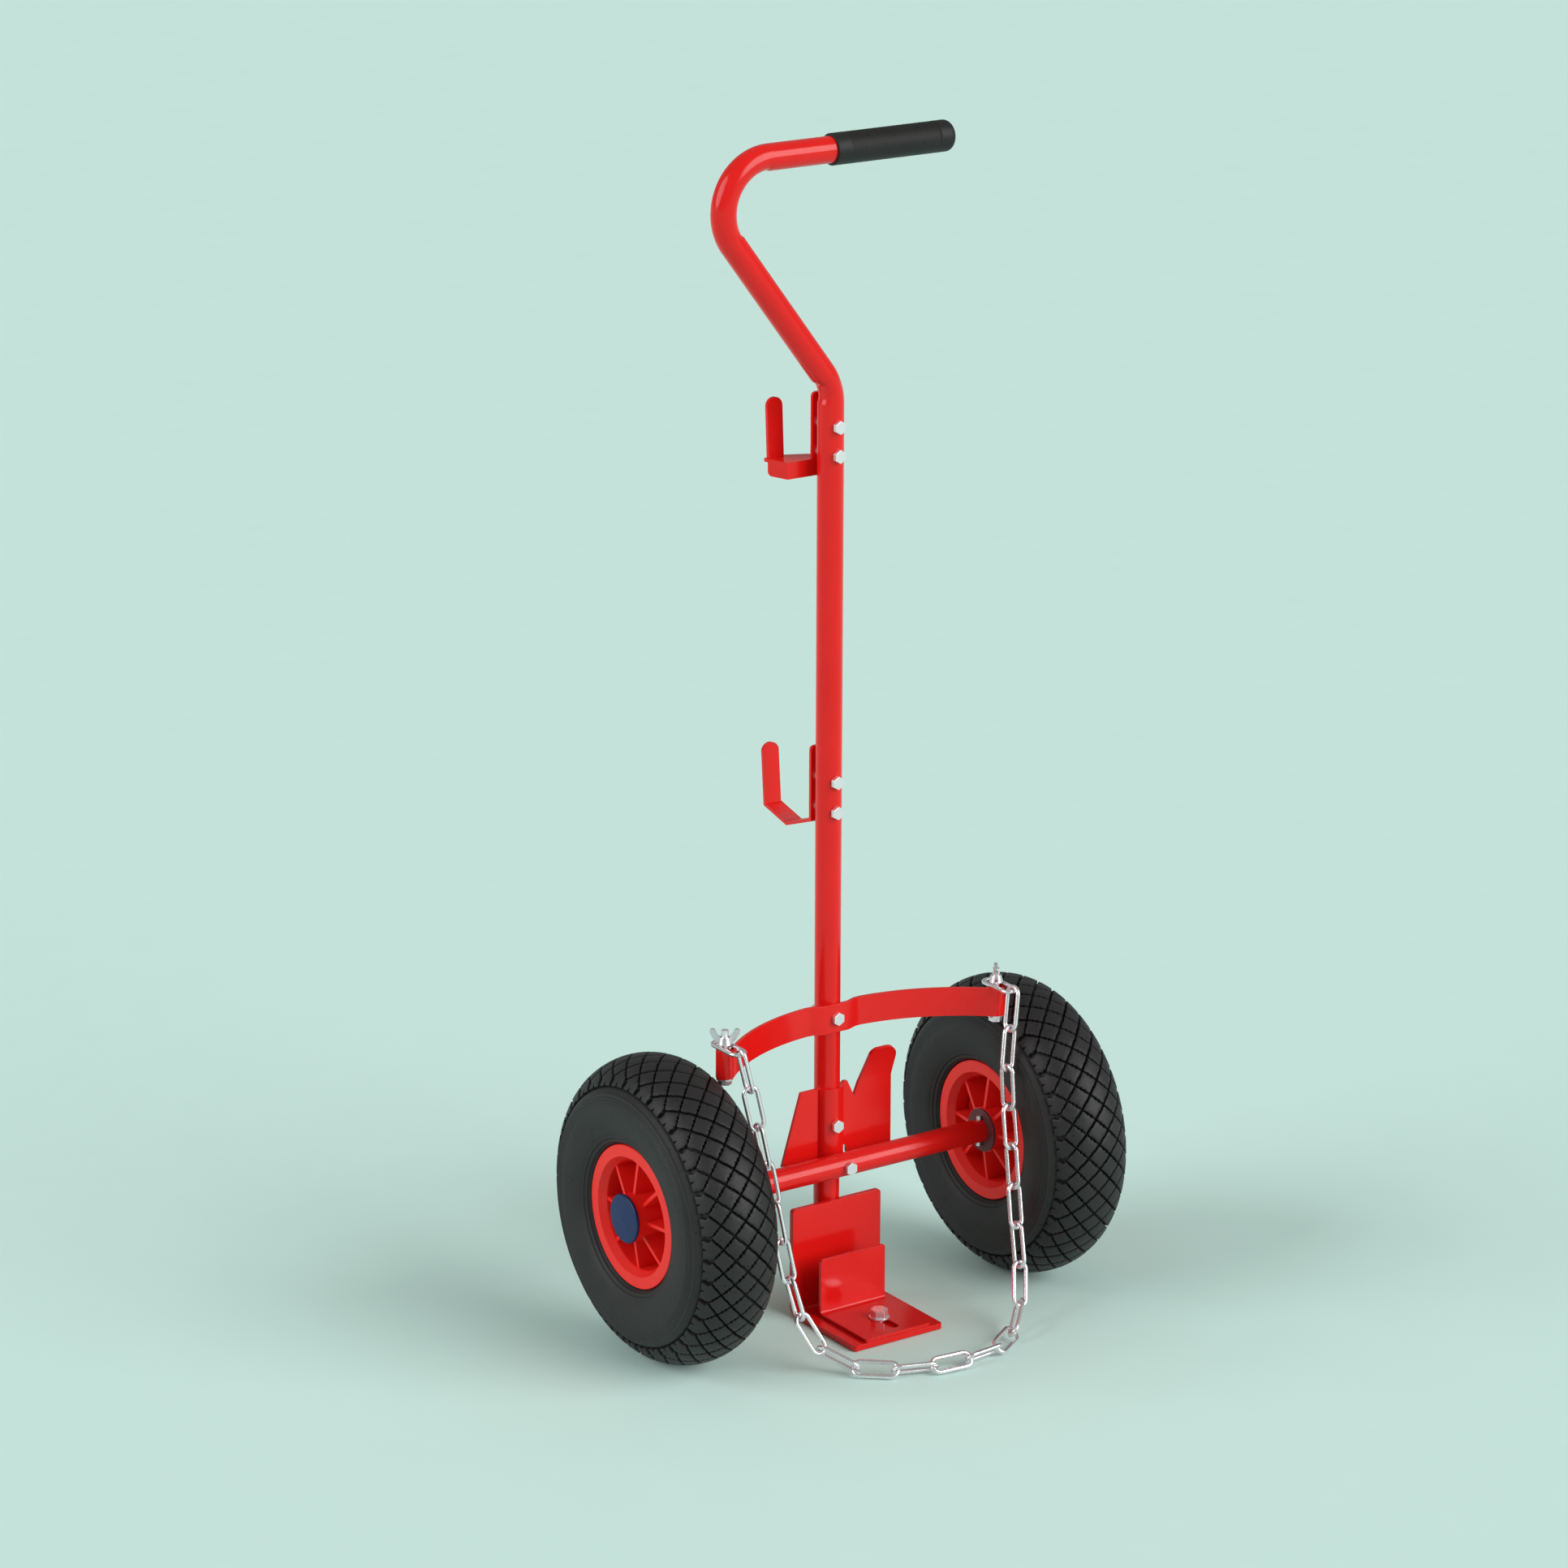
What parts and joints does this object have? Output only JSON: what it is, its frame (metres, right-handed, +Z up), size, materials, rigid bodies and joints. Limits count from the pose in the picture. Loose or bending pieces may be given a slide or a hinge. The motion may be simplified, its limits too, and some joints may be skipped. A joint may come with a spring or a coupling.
{
  "type": "two-wheel gas bottle cart",
  "caption": "Two-wheel hand cart for one gas bottle, with a gooseneck handle, hose hooks, a curved strap with a chain and a foot plate with a sliding stop.",
  "frame": {"origin": "on the floor under the middle of the axle", "axes": "+Z up, +X along the axle to the right, -Y towards the bottle in front of the stem"},
  "size_m": [0.44, 0.2948, 1],
  "materials": {
    "red_paint": "glossy powder coat",
    "grip": "matte ribbed grip",
    "zinc": "bright zinc",
    "chain_steel": "bright zinc",
    "tyre": "matte black rubber",
    "inner_rubber": "matte black rubber",
    "rim_plastic": "satin moulded plastic",
    "bush_plastic": "matte moulded plastic",
    "cap_plastic": "glossy moulded plastic"
  },
  "bodies": {
    "frame": {"lower_tube": "red_paint", "upper_tube": "red_paint", "joint_sleeve": "zinc", "stem_plug": "grip", "hand_grip": "grip", "upper_hook": "red_paint", "lower_hook": "red_paint", "hook_spacers": "zinc", "hook_bolts": "zinc", "hook_nuts": "zinc", "cradle_strap": "red_paint", "axle_gusset": "red_paint", "frame_bolts": "zinc", "frame_nuts": "zinc", "axle_tube": "red_paint", "axle_stops": "zinc", "base_plate": "red_paint", "toe_bolt": "zinc", "eye_bolts": "zinc", "chain_end_links": "chain_steel"},
    "left_wheel": {"left_tyre": "tyre", "left_inner_tube": "inner_rubber", "left_valve": "inner_rubber", "left_rim_outer": "rim_plastic", "left_rim_inner": "rim_plastic", "left_rim_screws": "zinc", "left_bushes": "bush_plastic", "left_hub_cap": "cap_plastic"},
    "right_wheel": {"right_tyre": "tyre", "right_inner_tube": "inner_rubber", "right_valve": "inner_rubber", "right_rim_outer": "rim_plastic", "right_rim_inner": "rim_plastic", "right_rim_screws": "zinc", "right_bushes": "bush_plastic", "right_hub_cap": "cap_plastic"},
    "foot_stop": {"toe_stop": "red_paint"},
    "chain": {"chain_links": "chain_steel"},
    "left_wing_nut": {"wing_nut_left": "chain_steel"},
    "right_wing_nut": {"wing_nut_right": "chain_steel"}
  },
  "joints": [
    {"name": "left_wheel_spin", "type": "hinge", "parent": "frame", "child": "left_wheel", "pos_m": [-0.1775, 0, 0.13], "axis": [1, 0, 0], "continuous": true},
    {"name": "right_wheel_spin", "type": "hinge", "parent": "frame", "child": "right_wheel", "pos_m": [0.1775, 0, 0.13], "axis": [1, 0, 0], "continuous": true},
    {"name": "foot_stop_slide", "type": "slide", "parent": "frame", "child": "foot_stop", "axis": [0, 1, 0], "range_m": [0, 0.02]},
    {"name": "chain_swing", "type": "hinge", "parent": "frame", "child": "chain", "pos_m": [0, -0.051, 0.27132], "axis": [-1, 0, 0], "range_deg": [0, 95]},
    {"name": "left_wing_nut_turn", "type": "hinge", "parent": "frame", "child": "left_wing_nut", "pos_m": [-0.137, -0.0269, 0.28], "axis": [0, 0, 1], "continuous": true},
    {"name": "right_wing_nut_turn", "type": "hinge", "parent": "frame", "child": "right_wing_nut", "pos_m": [0.137, -0.0269, 0.28], "axis": [0, 0, 1], "continuous": true}
  ]
}
